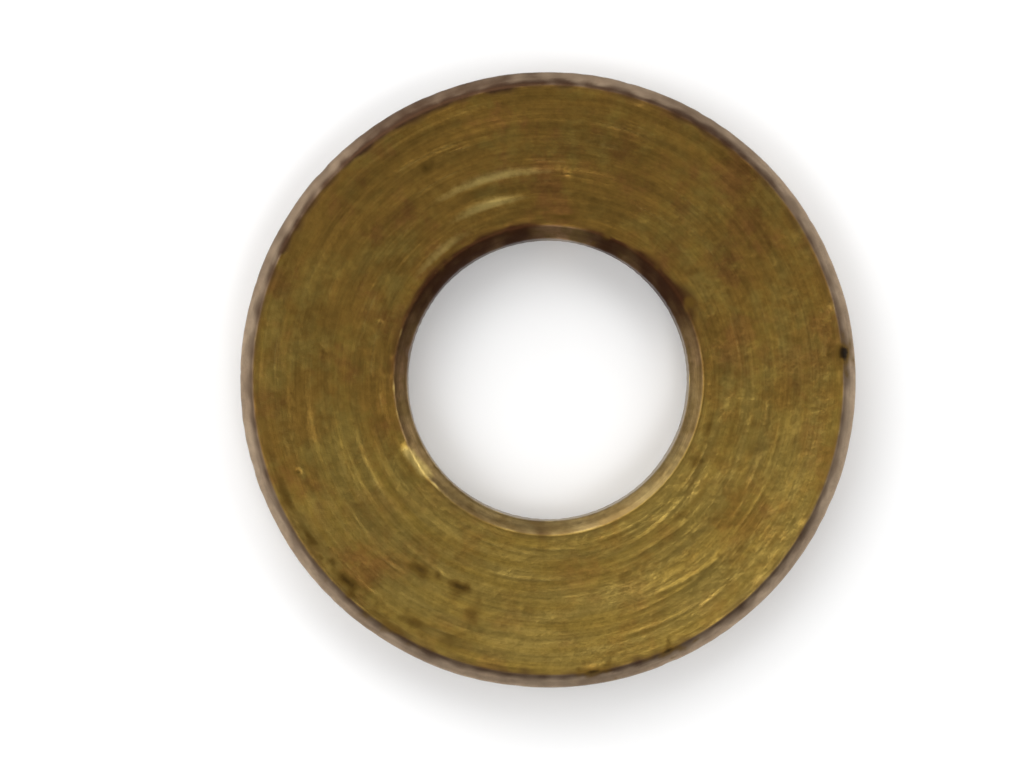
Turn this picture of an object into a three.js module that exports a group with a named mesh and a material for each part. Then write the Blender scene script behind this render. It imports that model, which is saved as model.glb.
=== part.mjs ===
// A flat washer for an M6 bolt, turned from brass bar in one piece, with its four edges chamfered.
// Millimetres, +Z up. The origin is where the bore's axis meets the seat, the face that rests on the work.
import * as THREE from 'three';

// Driving dimensions
const THREAD_DIAMETER = 6;
const BORE_CLEARANCE = 0.4; // on the diameter
const OUTER_DIAMETER = 14;
const THICKNESS = 1.6;
const CHAMFER = 0.3; // both legs of the 45 degree chamfer on each edge

// The chords of the round faces stay within 3 micrometres of the true circle.
const SEGMENTS = 120;

const boreRadius = (THREAD_DIAMETER + BORE_CLEARANCE) / 2;
const outerRadius = OUTER_DIAMETER / 2;

const brass = new THREE.MeshStandardMaterial({ color: 0xa5803a, roughness: 0.42, metalness: 1 });

// The section on one side of the axis, as radius and height, from the foot of the bore wall outwards.
function section() {
  const seatHeight = 0;
  const headHeight = THICKNESS;
  return [
    [boreRadius, seatHeight + CHAMFER],
    [boreRadius + CHAMFER, seatHeight],
    [outerRadius - CHAMFER, seatHeight],
    [outerRadius, seatHeight + CHAMFER],
    [outerRadius, headHeight - CHAMFER],
    [outerRadius - CHAMFER, headHeight],
    [boreRadius + CHAMFER, headHeight],
    [boreRadius, headHeight - CHAMFER],
  ].map(([radius, height]) => new THREE.Vector2(radius, height));
}

// The section turned about the axis. LatheGeometry turns about +Y, so the ring is then stood on +Z.
function washer() {
  const outline = section();
  const ring = new THREE.LatheGeometry([...outline, outline[0]], SEGMENTS);
  ring.rotateX(Math.PI / 2);
  const mesh = new THREE.Mesh(ring, brass);
  mesh.name = 'washer';
  return mesh;
}

const part = new THREE.Group();
part.add(washer());

export default part;
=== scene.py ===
"""A flat washer turned from brass bar, dulled and scratched with age, lying face up on a pale floor."""
import math

import bpy
import numpy as np
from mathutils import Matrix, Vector


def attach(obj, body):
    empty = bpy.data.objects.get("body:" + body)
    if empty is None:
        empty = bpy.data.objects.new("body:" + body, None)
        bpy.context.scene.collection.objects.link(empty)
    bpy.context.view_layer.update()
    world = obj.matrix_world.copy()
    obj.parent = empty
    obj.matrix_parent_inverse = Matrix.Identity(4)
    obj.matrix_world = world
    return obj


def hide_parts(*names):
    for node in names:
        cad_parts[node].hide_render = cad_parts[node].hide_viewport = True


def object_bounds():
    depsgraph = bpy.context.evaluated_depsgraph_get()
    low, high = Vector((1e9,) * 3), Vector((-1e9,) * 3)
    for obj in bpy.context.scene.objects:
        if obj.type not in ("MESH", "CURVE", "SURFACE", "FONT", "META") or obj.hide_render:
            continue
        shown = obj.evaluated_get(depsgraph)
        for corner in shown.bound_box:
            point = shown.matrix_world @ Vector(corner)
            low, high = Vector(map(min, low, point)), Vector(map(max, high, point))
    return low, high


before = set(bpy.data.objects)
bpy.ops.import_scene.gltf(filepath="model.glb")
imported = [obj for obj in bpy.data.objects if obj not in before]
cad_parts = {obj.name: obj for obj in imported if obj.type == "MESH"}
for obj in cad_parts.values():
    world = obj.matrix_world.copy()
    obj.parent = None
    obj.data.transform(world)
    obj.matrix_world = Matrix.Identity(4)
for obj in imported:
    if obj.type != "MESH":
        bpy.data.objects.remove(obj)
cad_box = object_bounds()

MM = 0.001
SEED = 7

# The mesh: columns round the axis, and the spacing in mm of its rows on each kind of side. Together
# they make just under 100,000 faces.
COLUMNS = 480
HEAD_STEP = 0.033
SEAT_STEP = 0.10
WALL_STEP = 0.12
CHAMFER_STEP = 0.06

# The section's corners are rounded, to this radius in mm and in this many steps each.
EDGE_RADIUS = 0.14
EDGE_STEPS = 5


def washer_section():
    """The sizes of the CAD washer's section in mm: bore, rim and head face radii, and height."""
    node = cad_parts["washer"]
    points = np.array([v.co for v in node.data.vertices]) / MM
    radius = np.hypot(points[:, 0], points[:, 1])
    height = points[:, 2].max()
    on_head = points[:, 2] > height - 1e-3
    return {
        "bore": radius.min(),
        "rim": radius.max(),
        "face_from": radius[on_head].min(),
        "face_to": radius[on_head].max(),
        "height": height,
    }


SIZE = washer_section()
CHAMFER = SIZE["rim"] - SIZE["face_to"]


# ---------------------------------------------------------------- the section

def section_corners():
    """The section's eight corners as (radius, height, step), where step is the row spacing on the
    straight side that starts there. The metal lies to the left of the way round."""
    bore, rim, height = SIZE["bore"], SIZE["rim"], SIZE["height"]
    inner, outer = SIZE["face_from"], SIZE["face_to"]
    return [
        (inner, 0, SEAT_STEP),
        (outer, 0, CHAMFER_STEP),
        (rim, CHAMFER, WALL_STEP),
        (rim, height - CHAMFER, CHAMFER_STEP),
        (outer, height, HEAD_STEP),
        (inner, height, CHAMFER_STEP),
        (bore, height - CHAMFER, WALL_STEP),
        (bore, CHAMFER, CHAMFER_STEP),
    ]


def rounded_section():
    """Points along the section with its corners rounded, the outward normal at each, and how near
    the middle of a rounded corner it lies, from 0 to 1."""
    corners = section_corners()
    places = [np.array(c[:2], float) for c in corners]
    ways = [b - a for a, b in zip(places, places[1:] + places[:1])]
    ways = [way / np.linalg.norm(way) for way in ways]
    points, normals, corner_share = [], [], []
    for i, (place, corner) in enumerate(zip(places, corners)):
        before, after = ways[i - 1], ways[i]
        turn = math.acos(float(before @ after))
        tangent = EDGE_RADIUS * math.tan(turn / 2)
        start = math.atan2(-before[0], before[1])
        first_normal = np.array([before[1], -before[0]])
        centre = place - before * tangent - first_normal * EDGE_RADIUS
        for k in range(EDGE_STEPS + 1):
            angle = start + turn * k / EDGE_STEPS
            normal = np.array([math.cos(angle), math.sin(angle)])
            points.append(centre + normal * EDGE_RADIUS)
            normals.append(normal)
            corner_share.append(math.sin(math.pi * k / EDGE_STEPS))
        straight_from = place + after * tangent
        following = places[(i + 1) % len(places)]
        straight_to = following - after * tangent
        length = np.linalg.norm(straight_to - straight_from)
        steps = max(2, round(length / corner[2]))
        for k in range(1, steps):
            points.append(straight_from + (straight_to - straight_from) * k / steps)
            normals.append(np.array([after[1], -after[0]]))
            corner_share.append(0.0)
    return np.array(points), np.array(normals), np.array(corner_share)


# ---------------------------------------------------------------- where the marks are

# Deeper arcs that the tool cut in the head face: radius in mm, the middle of the arc in degrees
# anticlockwise from +X, how far it reaches each way, and depth in mm.
RINGS = [
    (3.74, 130, 14, 0.014),
    (4.02, 104, 12, 0.006),
    (4.20, 109, 12, 0.018),
    (4.50, 92, 10, 0.006),
    (4.71, 106, 18, 0.016),
    (5.50, 76, 12, 0.007),
    (4.20, 318, 20, 0.002),
    (4.46, 302, 18, 0.002),
    (5.22, 300, 22, 0.002),
    (5.58, 312, 16, 0.003),
    (6.05, 284, 20, 0.002),
    (6.28, 300, 22, 0.003),
    (4.58, 212, 20, 0.008),
    (5.02, 208, 18, 0.008),
    (4.16, 240, 24, 0.004),
]
RING_WIDTH = 0.36  # from the middle of an arc to the foot of its outer slope, in mm
RING_REST = 0.08  # the share of an arc's depth that runs on round the whole face
RING_BARE_DEPTH = 0.017  # an arc this deep is rubbed quite bare

# Scratches left by knocks: radius in mm and degrees at each end, width and depth in mm.
SCRATCHES = [
    (3.60, 202, 3.42, 223, 0.150, 0.034),
    (5.40, 292, 5.62, 318, 0.040, 0.004),
    (6.02, 283, 6.12, 305, 0.045, 0.004),
    (4.15, 296, 4.05, 322, 0.040, 0.004),
]
SCRATCH_BARE_DEPTH = 0.012  # a scratch this deep leaves bare metal
HAIR_SCRATCHES = 70
HAIR_WIDTH = 0.035  # in mm

# Pits and stains on the head face and its edges: radius in mm, degrees anticlockwise from +X, size
# across and round the ring in mm, depth in mm, and how dirty, from 0 to 1.
PITS = [
    (6.72, 5, 0.28, 0.34, 0.010, 1.00),
    (3.66, 28, 0.12, 0.20, 0.001, 0.80),
    (4.28, 2, 0.14, 0.14, 0.001, 0.55),
    (5.70, 9, 0.16, 0.12, 0.001, 0.65),
    (5.18, 236, 0.20, 0.34, 0.005, 0.88),
    (5.10, 247, 0.15, 0.44, 0.004, 0.88),
    (5.57, 252, 0.22, 0.24, 0.004, 0.75),
    (6.44, 225, 0.16, 0.46, 0.003, 0.88),
    (6.48, 213, 0.14, 0.40, 0.003, 0.80),
    (6.26, 241, 0.20, 0.36, 0.004, 0.75),
    (6.25, 249, 0.18, 0.26, 0.003, 0.65),
    (6.50, 204, 0.14, 0.50, 0.003, 0.80),
    (6.60, 236, 0.14, 0.60, 0.003, 0.70),
    (6.68, 279, 0.12, 0.46, 0.001, 0.92),
    (6.70, 294, 0.12, 0.34, 0.001, 0.92),
    (5.78, 319, 0.11, 0.34, 0.001, 0.70),
    (4.27, 314, 0.09, 0.20, 0.001, 0.65),
    (3.82, 331, 0.10, 0.22, 0.001, 0.75),
    (3.79, 344, 0.08, 0.30, 0.001, 0.75),
    (4.88, 341, 0.12, 0.30, 0.001, 0.50),
    (3.71, 85, 0.09, 0.34, 0.001, 0.85),
    (4.57, 112, 0.10, 0.42, 0.000, 0.65),
    (3.62, 68, 0.18, 0.16, 0.005, 0.70),
    (3.62, 128, 0.12, 0.50, 0.004, 0.50),
    (5.56, 120, 0.18, 0.15, 0.001, 0.85),
    (4.77, 184, 0.16, 0.22, 0.005, 0.40),
    (3.90, 193, 0.26, 0.15, 0.004, 0.50),
    (4.24, 175, 0.14, 0.24, 0.004, 0.40),
    (5.30, 67, 0.34, 0.12, 0.004, 0.40),
]
SMALL_PITS = 90
NICKS = 60

# Where the bore and rim go a dark maroon-brown, partly a film grown on the metal and partly painted
# shade, heaviest round 40° to 150°: the middle in degrees, how far it reaches each way, strength.
RIM_FILM_AND_SHADE = [
    (112, 40, 0.8),
    (68, 30, 0.5),
    (150, 18, 0.5),
    (246, 16, 0.3),
    (276, 20, 0.4),
]
BORE_FILM_AND_SHADE = [
    (132, 32, 0.95),
    (40, 24, 0.9),
    (103, 12, 0.9),
    (66, 11, 0.85),
    (166, 14, 0.5),
    (238, 12, 0.15),
    (264, 8, 0.3),
]
FILM_AND_SHADE_LINE = 0.15  # how far the dark film and painted shade reach to each side of the flat faces' corners, in mm

# Where the bore's film has crept out over the face: the middle in degrees, how far it reaches each
# way, and how much further out it goes, in mm.
FILM_CREEP = (30, 6, 0.32)

# The middle of the side where the whole face has gone a warmer, browner colour, in degrees, and of
# the side where the tool cut deepest.
WARM_SIDE = 100
DEEP_SIDE = 130

# The turning marks' spacing, in mm.
FINE_PITCH = 0.24
BROAD_PITCH = 0.50
SEAT_PITCH = 0.42

# How far the marks and the unevenness of each kind stand out from the surface, in mm.
FINE_MARKS = 0.002
BROAD_MARKS = 0.002
SEAT_MARKS = 0.016
ARCS = 0.0024
HEAD_RIPPLES = 0.001
SIDE_RIPPLES = 0.004
CHATTER = 0.003
LUMPS = 0.004
MOTTLE = 0.001
GRAIN = 0.0008


# ---------------------------------------------------------------- the surface relief

def ring_noise(random, radius, angle, pitch, winding, waves=14):
    """Ripples round the axis about pitch apart, which wind slowly in and out. About -1 to 1."""
    total = 0
    for _ in range(waves):
        spacing = pitch * random.uniform(0.7, 1.6)
        turns = random.integers(-winding, winding + 1)
        phase = random.uniform(0, math.tau)
        total = total + np.sin(math.tau * radius / spacing + turns * angle + phase)
    return total / math.sqrt(waves)


def lump_noise(random, points, size, waves=24):
    """Soft lumps about size across, the same in every direction. About -1 to 1."""
    total = 0
    for _ in range(waves):
        way = random.normal(size=3)
        way = way / np.linalg.norm(way) * random.uniform(0.6, 1.5) / size
        total = total + np.sin(math.tau * (points @ way) + random.uniform(0, math.tau))
    return total / math.sqrt(waves)


def smooth(value, low, high):
    """0 below low and 1 above high, with an S-curve between."""
    t = np.clip((value - low) / (high - low), 0, 1)
    return t * t * (3 - 2 * t)


def saw(phase, rise=0.78):
    """A sawtooth from -0.5 to 0.5 that climbs over most of its length and then drops."""
    part = phase - np.floor(phase)
    return np.where(part < rise, part / rise, (1 - part) / (1 - rise)) - 0.5


def degrees_from(angle, heading):
    """How far each angle lies from the heading in degrees, between -180 and 180."""
    return (np.degrees(angle) - heading + 180) % 360 - 180


def hump(distance, reach):
    """1 where the distance is none, fading to about a third at the reach."""
    return np.exp(-((distance / reach) ** 2))


def ring_marks(random, radius, angle):
    """How deep the arcs cut, in mm, and how bare they leave the metal, from 0 to 1. Each arc is
    steeper on its inner side."""
    depth = np.zeros(np.broadcast(radius, angle).shape)
    bare = np.zeros_like(depth)
    for middle, heading, reach, cut in RINGS:
        strength = RING_REST + (1 - RING_REST) * hump(degrees_from(angle, heading), reach)
        wander = 0.04 * np.sin(2 * angle + random.uniform(0, 6))
        across = (radius - middle - wander) / RING_WIDTH
        steep = np.where(across < 0, across * 2, across)
        shape = np.exp(-steep * steep * 4) * strength
        depth += cut * shape
        bare = np.maximum(bare, shape * cut / RING_BARE_DEPTH)
    return depth, bare


def scratch_marks(random, radius, angle):
    """How deep the scratches cut, in mm, and how bare they leave the metal, from 0 to 1."""
    depth = np.zeros(np.broadcast(radius, angle).shape)
    bare = np.zeros_like(depth)
    scratches = list(SCRATCHES)
    for _ in range(HAIR_SCRATCHES):
        start, start_angle = random.uniform(3.6, 6.6), random.uniform(0, 360)
        drift, reach = random.uniform(-0.12, 0.12), random.uniform(6, 30)
        end, end_angle = start + drift, start_angle + reach
        cut = random.uniform(0.002, 0.005)
        scratches.append((start, start_angle, end, end_angle, HAIR_WIDTH, cut))
    for start, start_angle, end, end_angle, width, cut in scratches:
        reach = end_angle - start_angle
        along = ((np.degrees(angle) - start_angle) % 360) / reach
        ends = smooth(along, 0, 0.3) * (1 - smooth(along, 0.7, 1))
        across = (radius - start - (end - start) * np.clip(along, 0, 1)) / width
        shape = np.exp(-across * across) * ends
        depth += cut * shape
        bare = np.maximum(bare, shape * min(1, cut / SCRATCH_BARE_DEPTH))
    return depth, bare


def pit_marks(random, points, radius, angle):
    """How deep the pits and stains go, in mm, and how dirty they are, from 0 to 1."""
    depth = np.zeros(points.shape[:2])
    dirt = np.zeros_like(depth)
    warp = 1 + 0.35 * lump_noise(random, points, size=0.30)
    chamfer_foot = SIZE["height"] - CHAMFER
    near_head = smooth(points[..., 2], chamfer_foot - CHAMFER * 0.2, chamfer_foot + CHAMFER * 0.2)
    pits = list(PITS)
    for _ in range(SMALL_PITS):
        middle = random.uniform(SIZE["face_from"], SIZE["face_to"])
        across, round_way = random.uniform(0.05, 0.10), random.uniform(0.06, 0.16)
        stain = random.uniform(0.2, 0.5)
        pits.append((middle, random.uniform(0, 360), across, round_way, across * 0.04, stain))
    for middle, heading, across, round_way, cut, stain in pits:
        sideways = np.radians(degrees_from(angle, heading)) * middle / round_way
        distance = np.hypot((radius - middle) / across, sideways) * warp
        bowl = np.exp(-distance * distance) * near_head
        depth += cut * bowl
        dirt = np.maximum(dirt, bowl * stain)
    return depth, dirt


def nick_marks(random, points, corner_share):
    """How deep small knocks have dented the section's corners, in mm."""
    depth = np.zeros(points.shape[:2])
    edge_rows = np.flatnonzero(corner_share > 0.9)
    for _ in range(NICKS):
        place = points[random.choice(edge_rows), random.integers(COLUMNS)]
        size = random.uniform(0.06, 0.16)
        distance = np.linalg.norm(points - place, axis=2) / size
        depth += random.uniform(0.06, 0.14) * size * np.exp(-distance ** 4)
    return depth


def relief(points, normal, corner_share, radius, angle):
    """How far each point stands out along its normal, in mm, with the bare and dirty shares."""
    random = np.random.default_rng(SEED)
    head = smooth(normal[:, 1], 0.9, 0.999)[:, None]
    seat = smooth(-normal[:, 1], 0.9, 0.999)[:, None]
    flank = 1 - head - seat

    # How far across the tool marks each row lies. The height makes them run on round the walls.
    across = radius + 0.7 * points[:, :1, 2]

    fine_share = np.clip(0.6 + 0.6 * lump_noise(random, points, size=2.6), 0, 1.5)
    broad_share = np.clip(0.6 + 0.6 * lump_noise(random, points, size=3.4), 0, 1.5)
    wind = angle / math.tau
    drift = 0.25 * lump_noise(random, points, size=5.0)
    fine = saw(across / FINE_PITCH + 0.6 * np.sin(across * 1.9) + wind + drift)
    broad = saw(across / BROAD_PITCH + 0.3 * np.sin(across * 1.3 + 1) + wind + drift)
    parting = saw(across / SEAT_PITCH - wind)
    arcs = ring_noise(random, across, angle, pitch=0.42, winding=9, waves=30)
    ripples = ring_noise(random, across, angle, pitch=0.45, winding=3)
    lumps = lump_noise(random, points, size=1.6)
    mottle = lump_noise(random, points, size=0.8)
    grain = lump_noise(random, points, size=0.22)

    deep = 0.58 + 0.42 * np.cos(angle - math.radians(DEEP_SIDE))
    turning = FINE_MARKS * fine_share * fine + BROAD_MARKS * broad_share * broad
    turning = turning + ARCS * arcs + HEAD_RIPPLES * ripples
    out = head * (turning * deep + LUMPS * lumps + MOTTLE * mottle)
    out += seat * (SEAT_MARKS * parting + SIDE_RIPPLES * ripples + LUMPS * lumps)
    chatter = np.sin(angle * 97 + 2 * np.sin(angle * 5)) * lump_noise(random, points, size=2.2)
    out += flank * (SIDE_RIPPLES * ripples + CHATTER * chatter + LUMPS * lumps)
    out += GRAIN * grain

    ring_cut, ring_bare = ring_marks(random, radius, angle)
    scratch_cut, scratch_bare = scratch_marks(random, radius, angle)
    upper = smooth(normal[:, 1], 0.3, 0.6)[:, None]
    hole, dirt = pit_marks(random, points, radius, angle)
    out -= head * ring_cut + upper * scratch_cut + hole
    out -= nick_marks(random, points, corner_share)
    worn = corner_share[:, None] * (0.10 + 0.35 * lump_noise(random, points, size=0.7))
    bare = np.maximum(ring_bare * 0.75 * head, scratch_bare * upper)
    return out, np.maximum(bare, worn), dirt


# ---------------------------------------------------------------- the washer's mesh

def film_and_shade_round(angle, sectors):
    """How strong the dark film and painted shade are round the axis, from 0 to 1."""
    total = np.zeros_like(angle)
    for heading, reach, strength in sectors:
        total = np.maximum(total, strength * hump(degrees_from(angle, heading), reach))
    return total


def dark_film_and_shade(random, points, radius, angle, flank):
    """How strong the dark brown is, from 0 to 1, partly a film on the metal and partly painted shade:
    patchy on the chamfers and walls, thicker in a line round each corner of the two flat faces."""
    rim_side = radius > (SIZE["rim"] + SIZE["bore"]) / 2
    sectors = np.where(rim_side, film_and_shade_round(angle, RIM_FILM_AND_SHADE), film_and_shade_round(angle, BORE_FILM_AND_SHADE))
    corner = np.where(rim_side, SIZE["face_to"] + 0.02, SIZE["face_from"])
    heading, creep_reach, further = FILM_CREEP
    creep = np.where(rim_side, 0, further * hump(degrees_from(angle, heading), creep_reach))
    reach = FILM_AND_SHADE_LINE + 0.05 * lump_noise(random, points, size=0.6) + creep
    line = hump(radius - corner, np.maximum(reach, 0.05))
    # The dark line round each corner and the sectors are partly film and partly painted shade, which
    # darkens the bore and rim most on the side round 40° to 150°.
    on_line = np.where(rim_side, 0.55 + 0.45 * sectors, 0.33 + 0.67 * sectors)
    on_flank = np.where(rim_side, 0.08 + 0.75 * sectors, 0.12 + 0.80 * sectors)
    patchy = 0.95 + 0.10 * lump_noise(random, points, size=0.5)
    return np.clip(np.maximum(flank * on_flank, line * on_line) * patchy, 0, 1)


def warm_share(random, points, angle):
    """How much warmer and browner the metal is, from 0 to 1."""
    side = 0.5 + 0.45 * np.cos(angle - math.radians(WARM_SIDE))
    return np.clip(side + 0.22 * lump_noise(random, points, size=2.4), 0, 1)


def add_attribute(mesh, name, values):
    """A number at every vertex of the mesh, for its material to read."""
    attribute = mesh.attributes.new(name, "FLOAT", "POINT")
    attribute.data.foreach_set("value", values.astype(np.float32).ravel())


def build_washer():
    """The whole washer as one closed mesh, turned from the section and then marked."""
    section, normal, corner_share = rounded_section()
    angle = (np.arange(COLUMNS) / COLUMNS * math.tau)[None, :]
    radius, height = section[:, :1], section[:, 1:]
    way = np.stack([np.cos(angle), np.sin(angle)], axis=2)
    flat = np.ones_like(angle)
    points = np.dstack([radius * way[..., 0], radius * way[..., 1], height * flat])
    normals = np.dstack(
        [normal[:, :1] * way[..., 0], normal[:, :1] * way[..., 1], normal[:, 1:] * flat]
    )
    out, bare, dirt = relief(points, normal, corner_share, radius, angle)
    points = (points + normals * out[..., None]) * MM
    rows = len(section)
    index = np.arange(rows * COLUMNS).reshape(rows, COLUMNS)
    above = np.roll(index, -1, axis=0)
    quads = np.stack([index, np.roll(index, -1, 1), np.roll(above, -1, 1), above], axis=2)
    mesh = bpy.data.meshes.new("brass_washer")
    mesh.from_pydata(points.reshape(-1, 3).tolist(), [], quads.reshape(-1, 4).tolist())
    mesh.polygons.foreach_set("use_smooth", [True] * len(mesh.polygons))
    random = np.random.default_rng(SEED + 1)
    flank = smooth(1 - np.abs(normal[:, 1:]), 0.01, 0.12) * flat
    # The dark film, partly film on the metal and partly painted shade on one side of the bore and rim.
    film_and_shade = dark_film_and_shade(random, points / MM, radius, angle, flank)
    add_attribute(mesh, "bare", bare * (1 - 0.8 * film_and_shade))
    add_attribute(mesh, "dirt", dirt)
    add_attribute(mesh, "film_and_shade", film_and_shade)
    add_attribute(mesh, "flank", flank)
    add_attribute(mesh, "rim", smooth(radius, SIZE["face_from"] + 1, SIZE["face_to"] - 1) * flat)
    add_attribute(mesh, "warm", warm_share(random, points / MM, angle))
    mesh.validate()
    washer = bpy.data.objects.new("brass_washer", mesh)
    bpy.context.scene.collection.objects.link(washer)
    return washer


# ---------------------------------------------------------------- materials

def colour(red, green, blue):
    """A linear colour with full alpha."""
    return (red, green, blue, 1.0)


# The head face's metal: olive on one side and brown on the other, each from dark to light.
OLIVE = (colour(0.281, 0.183, 0.037), colour(0.395, 0.271, 0.066))
BROWN = (colour(0.255, 0.142, 0.029), colour(0.33, 0.190, 0.041))
RUST = colour(0.27, 0.125, 0.035)

# The chamfers and walls: tan at the bore, cool and warm with dark blotches, and taupe at the rim.
TAN = (colour(0.24, 0.177, 0.078), colour(0.29, 0.176, 0.100))
DARK_TAN = colour(0.17, 0.115, 0.048)
TAUPE = (colour(0.36, 0.268, 0.180), colour(0.27, 0.193, 0.126))

# What lies on the metal, with the bore's and rim's dark film colours also painting shade, and the
# metal where it has been rubbed bare.
BORE_FILM_AND_SHADE_COLOUR = colour(0.048, 0.019, 0.008)
RIM_FILM_AND_SHADE_COLOUR = colour(0.050, 0.025, 0.013)
BROWN_SOIL = colour(0.125, 0.070, 0.014)
BLACK_SOIL = colour(0.014, 0.009, 0.005)
BARE_BRASS = colour(0.66, 0.485, 0.155)

BOARD = (colour(0.86, 0.86, 0.86), colour(0.90, 0.90, 0.90))
WHITE = colour(1, 1, 1)

# The polished and the dull roughness of the turned metal, and the height in mm of its finest marks.
POLISHED, DULL = 0.28, 0.36
FINEST_MARKS = 0.006


class Nodes:
    """Short names for the shader nodes of a material or a world, which end in the named shader."""

    def __init__(self, owner, shader_name):
        owner.use_nodes = True
        self.tree = owner.node_tree
        self.shader = self.tree.nodes[shader_name]

    def put(self, socket, value):
        """Links another node's output to the socket, or sets it to a plain value."""
        if isinstance(value, bpy.types.NodeSocket):
            self.tree.links.new(value, socket)
        else:
            socket.default_value = value

    def node(self, kind, inputs=(), **settings):
        """A new node of this kind, with values for some of its inputs."""
        made = self.tree.nodes.new(kind)
        for name, value in settings.items():
            setattr(made, name, value)
        for key, value in dict(inputs).items():
            self.put(made.inputs[key], value)
        return made

    def maths(self, operation, a, b=0.0):
        return self.node("ShaderNodeMath", {0: a, 1: b}, operation=operation).outputs[0]

    def noise(self, vector, scale=1.0, detail=3.0, roughness=0.55):
        """Cloudy noise, 0.5 on average."""
        inputs = {"Vector": vector, "Scale": scale, "Detail": detail, "Roughness": roughness}
        return self.node("ShaderNodeTexNoise", inputs).outputs["Fac"]

    def spread(self, value, low, high, to_low=0.0, to_high=1.0):
        """to_low where the value is low, to_high where it is high, and an S-curve between."""
        inputs = {0: value, 1: low, 2: high, 3: to_low, 4: to_high}
        made = self.node("ShaderNodeMapRange", inputs, interpolation_type="SMOOTHSTEP")
        return made.outputs["Result"]

    def blend(self, share, a, b, mode="MIX"):
        """Colour a, with this share of colour b mixed in."""
        made = self.node("ShaderNodeMix", data_type="RGBA", blend_type=mode)
        for socket, value in zip((made.inputs[0], made.inputs[6], made.inputs[7]), (share, a, b)):
            self.put(socket, value)
        return made.outputs[2]

    def attribute(self, name):
        """One of the numbers that add_attribute has put on the mesh."""
        return self.node("ShaderNodeAttribute", attribute_name=name).outputs["Fac"]


def place_in_mm(nodes):
    """The surface point in the object's own frame, in mm."""
    place = nodes.node("ShaderNodeTexCoord").outputs["Object"]
    scaled = nodes.node("ShaderNodeVectorMath", {0: place, "Scale": 1 / MM}, operation="SCALE")
    return scaled.outputs[0]


def turned(nodes, place, across, along):
    """Coordinates that change fast across the tool marks and slowly along them. The height counts
    as well as the radius, so the marks run on round the walls."""
    flat = nodes.node("ShaderNodeVectorMath", {0: place, 1: (1, 1, 0)}, operation="MULTIPLY")
    radius = nodes.node("ShaderNodeVectorMath", {0: flat.outputs[0]}, operation="LENGTH")
    way = nodes.node("ShaderNodeVectorMath", {0: flat.outputs[0]}, operation="NORMALIZE")
    round_way = nodes.node(
        "ShaderNodeVectorMath", {0: way.outputs[0], "Scale": along}, operation="SCALE"
    )
    height = nodes.node("ShaderNodeSeparateXYZ", {0: place}).outputs["Z"]
    reach = nodes.maths("ADD", radius.outputs["Value"], nodes.maths("MULTIPLY", height, 1.7))
    lift = nodes.node("ShaderNodeCombineXYZ", {"Z": nodes.maths("MULTIPLY", reach, across)})
    total = nodes.node(
        "ShaderNodeVectorMath", {0: round_way.outputs[0], 1: lift.outputs[0]}, operation="ADD"
    )
    return total.outputs[0]


def metal_colour(nodes, streaks, patches, blotches):
    """The clean metal's colour: the head face's, then the bore's and the rim's over it."""
    flank, rim, warm = (nodes.attribute(name) for name in ("flank", "rim", "warm"))
    light = nodes.spread(streaks, 0.32, 0.68)
    uneven = nodes.maths("ADD", warm, nodes.spread(blotches, 0.3, 0.7, -0.35, 0.35))
    metal = nodes.blend(
        nodes.spread(uneven, 0.0, 1.0), nodes.blend(light, *OLIVE), nodes.blend(light, *BROWN)
    )
    rust_share = nodes.spread(warm, 0.0, 1.0, 0.25, 0.8)
    rusty = nodes.maths("MULTIPLY", nodes.spread(patches, 0.48, 0.66), rust_share)
    metal = nodes.blend(rusty, metal, RUST)
    tan = nodes.blend(nodes.spread(blotches, 0.35, 0.65), nodes.blend(warm, *TAN), DARK_TAN)
    metal = nodes.blend(nodes.maths("MULTIPLY", flank, 0.8), metal, tan)
    taupe = nodes.blend(nodes.spread(patches, 0.35, 0.65), *TAUPE)
    return nodes.blend(nodes.maths("MULTIPLY", flank, rim), metal, taupe)


def grained(nodes, metal, speckle, hairlines):
    """The metal's colour made a little darker and lighter by its grain and fine tool marks."""
    grain = nodes.spread(speckle, 0.3, 0.7, 0.86, 1.12)
    lines = nodes.spread(hairlines, 0.3, 0.7, 0.9, 1.1)
    shade = nodes.maths("MULTIPLY", grain, lines)
    shade = nodes.node("ShaderNodeCombineColor", {0: shade, 1: shade, 2: shade}).outputs[0]
    return nodes.blend(1.0, metal, shade, "MULTIPLY")


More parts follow.
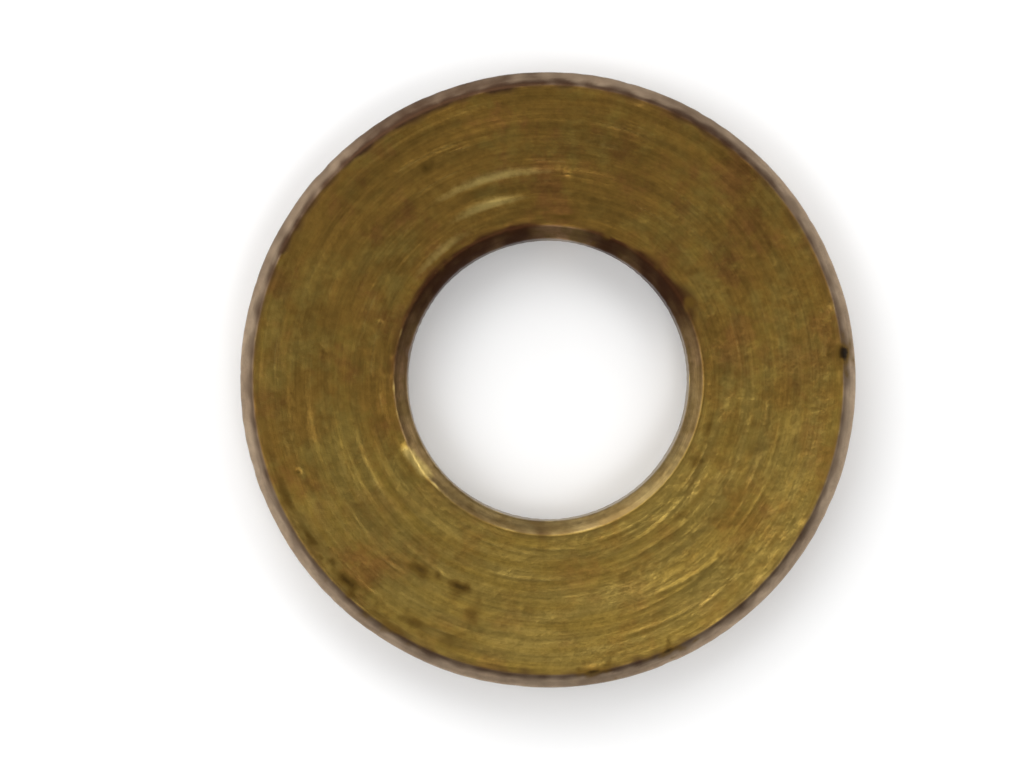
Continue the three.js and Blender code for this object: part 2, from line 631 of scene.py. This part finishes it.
def aged_brass():
    """Turned brass gone dull: olive and brown faces, a taupe rim, a brown film in the corners that is
    partly painted shade, dark pits, and bare bright metal in the scratches."""
    material = bpy.data.materials.new("aged_brass")
    nodes = Nodes(material, "Principled BSDF")
    place = place_in_mm(nodes)
    streaks = nodes.noise(turned(nodes, place, across=3.2, along=2.2), detail=4.0)
    hairlines = nodes.noise(turned(nodes, place, across=16.0, along=3.0))
    patches = nodes.noise(place, scale=0.8, detail=5.0, roughness=0.65)
    blotches = nodes.noise(place, scale=2.2, detail=4.0, roughness=0.6)
    speckle = nodes.noise(place, scale=6.0, detail=4.0, roughness=0.65)
    half_speckle = nodes.maths("MULTIPLY", speckle, 0.5)
    bare, dirt, film_and_shade, rim = (nodes.attribute(name) for name in ("bare", "dirt", "film_and_shade", "rim"))

    metal = metal_colour(nodes, streaks, patches, blotches)
    metal = grained(nodes, metal, speckle, hairlines)
    # Mixes in the dark film colour, partly film on the metal and partly painted shade.
    uneven_film_and_shade = nodes.maths("ADD", film_and_shade, nodes.maths("MULTIPLY", streaks, 0.25))
    uneven_film_and_shade = nodes.maths("ADD", uneven_film_and_shade, nodes.maths("MULTIPLY", speckle, 0.25))
    film_and_shade_share = nodes.spread(uneven_film_and_shade, 0.3, 1.1)
    metal = nodes.blend(film_and_shade_share, metal, nodes.blend(rim, BORE_FILM_AND_SHADE_COLOUR, RIM_FILM_AND_SHADE_COLOUR))
    rubbed = nodes.spread(nodes.maths("ADD", bare, half_speckle), 0.45, 1.2)
    metal = nodes.blend(rubbed, metal, BARE_BRASS)
    soiled = nodes.spread(nodes.maths("ADD", dirt, half_speckle), 0.3, 1.2)
    soil = nodes.blend(nodes.spread(dirt, 0.75, 1.0), BROWN_SOIL, BLACK_SOIL)
    nodes.put(nodes.shader.inputs["Base Color"], nodes.blend(soiled, metal, soil))

    rough = nodes.spread(streaks, 0.3, 0.7, DULL, POLISHED)
    rough = nodes.maths("ADD", rough, nodes.maths("MULTIPLY", soiled, 0.05))
    rough = nodes.maths("ADD", rough, nodes.maths("MULTIPLY", film_and_shade_share, 0.15))
    nodes.put(nodes.shader.inputs["Roughness"], rough)
    nodes.shader.inputs["Metallic"].default_value = 1.0

    height = nodes.maths("ADD", nodes.maths("MULTIPLY", hairlines, 0.35), speckle)
    bump = nodes.node("ShaderNodeBump", {"Height": height, "Distance": FINEST_MARKS * MM})
    nodes.put(nodes.shader.inputs["Normal"], bump.outputs["Normal"])
    return material


def floor_paint():
    """A matt white board with a trace of unevenness."""
    material = bpy.data.materials.new("white_board")
    nodes = Nodes(material, "Principled BSDF")
    cloud = nodes.noise(place_in_mm(nodes), scale=0.02, detail=2.0)
    nodes.put(nodes.shader.inputs["Base Color"], nodes.blend(cloud, *BOARD))
    nodes.shader.inputs["Roughness"].default_value = 0.9
    nodes.shader.inputs["Specular IOR Level"].default_value = 0.1
    return material


# ---------------------------------------------------------------- floor, light and camera

FLOOR_RADIUS = 0.09  # in metres
FLOOR_SIDES = 96


def build_floor():
    """A round white board under the lamps, level with the washer's seat."""
    low = cad_box[0].z
    turns = [math.tau * k / FLOOR_SIDES for k in range(FLOOR_SIDES)]
    corners = [(math.cos(t) * FLOOR_RADIUS, math.sin(t) * FLOOR_RADIUS, low) for t in turns]
    mesh = bpy.data.meshes.new("floor")
    mesh.from_pydata(corners, [], [tuple(range(FLOOR_SIDES))])
    mesh.materials.append(floor_paint())
    floor = bpy.data.objects.new("floor", mesh)
    bpy.context.scene.collection.objects.link(floor)


# The room: the brightest side in degrees, how strong its light is on the dim and the bright side, the
# height of the directions over which it fades towards the zenith, and what is left of it there.
BRIGHT_SIDE = 115
ROOM_DIM, ROOM_BRIGHT = 0.45, 1.35
FADE_FROM, FADE_TO = 0.72, 0.94
OVERHEAD = 0.08


def build_world():
    """A pale room, brighter on the window's side and dim overhead, with plain white in view."""
    world = bpy.data.worlds.new("studio")
    bpy.context.scene.world = world
    nodes = Nodes(world, "Background")
    turn = math.radians(BRIGHT_SIDE)
    bright_way = (math.cos(turn), math.sin(turn), 0)
    way = nodes.node("ShaderNodeTexCoord").outputs["Generated"]
    towards = nodes.node("ShaderNodeVectorMath", {0: way, 1: bright_way}, operation="DOT_PRODUCT")
    side = nodes.spread(towards.outputs["Value"], -0.9, 0.9, ROOM_DIM, ROOM_BRIGHT)
    height = nodes.node("ShaderNodeSeparateXYZ", {0: way}).outputs["Z"]
    overhead = nodes.spread(height, FADE_FROM, FADE_TO, 1.0, OVERHEAD)
    room = nodes.maths("MULTIPLY", side, overhead)
    in_view = nodes.node("ShaderNodeLightPath").outputs["Is Camera Ray"]
    strength = nodes.node("ShaderNodeMix", {0: in_view, 2: room, 3: 1.0}).outputs[0]
    nodes.put(nodes.shader.inputs["Strength"], strength)
    nodes.put(nodes.shader.inputs["Color"], WHITE)


# Azimuth anticlockwise from +X and elevation in degrees, distance and size in mm, and radiance.
LIGHTS = {
    "window": (122, 26, 120, 90, 1.9),
    "ceiling": (309, 67, 120, 36, 4.5),
    "ceiling_left": (209, 66, 120, 30, 2.9),
    "fill_right": (10, 48, 130, 70, 1.6),
    "fill_back": (90, 52, 130, 70, 1.6),
    "fill_left": (180, 48, 130, 70, 1.6),
    "fill_front": (270, 48, 130, 70, 1.6),
}


def soft_box(name, azimuth, elevation, distance, size, radiance):
    """A square light aimed at the washer."""
    turn, rise = math.radians(azimuth), math.radians(elevation)
    way = Vector((math.cos(turn) * math.cos(rise), math.sin(turn) * math.cos(rise), math.sin(rise)))
    light = bpy.data.lights.new(name, "AREA")
    light.size = size * MM
    light.energy = radiance * math.pi * light.size ** 2
    lamp = bpy.data.objects.new(name, light)
    lamp.location = way * distance * MM
    lamp.rotation_euler = way.to_track_quat("Z", "Y").to_euler()
    bpy.context.scene.collection.objects.link(lamp)


def build_lights():
    """All the lamps, window and ceiling and fill."""
    for name, settings in LIGHTS.items():
        soft_box(name, *settings)


# The camera's height over the seat and how far the washer lies right of and above the middle of the
# picture, in mm, and the share of the picture's height that the washer's diameter fills.
CAMERA_HEIGHT = 80
WASHER_RIGHT, WASHER_UP = 0.82, 0.09
WASHER_SHARE = 0.802

# The sensor's width in mm, and the picture's height over its width.
SENSOR = 36
FRAME_ASPECT = 768 / 1024


def build_camera():
    """A camera that looks straight down on the washer."""
    camera = bpy.data.cameras.new("camera")
    camera.sensor_width = SENSOR
    widest = SIZE["height"] - CHAMFER
    camera.lens = SENSOR * FRAME_ASPECT * WASHER_SHARE * (CAMERA_HEIGHT - widest) / (2 * SIZE["rim"])
    camera.clip_start, camera.clip_end = MM, 1.0
    eye = bpy.data.objects.new("camera", camera)
    eye.location = (-WASHER_RIGHT * MM, -WASHER_UP * MM, CAMERA_HEIGHT * MM)
    bpy.context.scene.collection.objects.link(eye)
    bpy.context.scene.camera = eye


# ---------------------------------------------------------------- the scene

build_camera()
washer = build_washer()
washer.data.materials.append(aged_brass())
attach(washer, "root")
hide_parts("washer")
build_floor()
build_world()
build_lights()
bpy.context.scene.view_settings.view_transform = "Standard"
